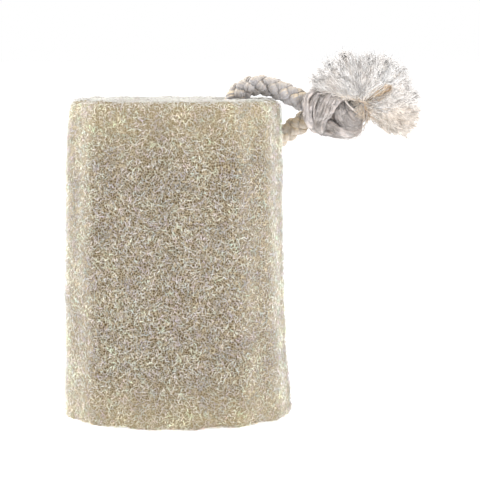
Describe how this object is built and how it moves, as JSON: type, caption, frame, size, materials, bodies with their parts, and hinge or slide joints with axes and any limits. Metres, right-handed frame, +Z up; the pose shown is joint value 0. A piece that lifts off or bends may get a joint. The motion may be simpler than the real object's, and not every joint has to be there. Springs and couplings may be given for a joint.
{
  "type": "natural loofah sponge",
  "caption": "Oval natural loofah sponge standing on its cut end, with a braided cotton rope loop through it that ends in a knot and a frayed tassel.",
  "frame": {"origin": "the middle of the sponge's cut lower end, on the surface that it stands on", "axes": "+Z up along the sponge, +X towards the rope's knot and tassel, -Y towards the picture's camera"},
  "size_m": [0.1685, 0.0738, 0.1747],
  "materials": {
    "loofah_fibre": "dry matt plant fibre, an open net",
    "cotton_rope": "undyed braided cotton, matt and a little fuzzy",
    "cotton_yarn": "undyed frayed cotton yarn, soft and matt"
  },
  "bodies": {
    "root": {"loofah_sponge": "loofah_fibre", "rope_loop": "cotton_rope", "rope_knot": "cotton_rope", "rope_tassel": "cotton_yarn"}
  },
  "joints": []
}
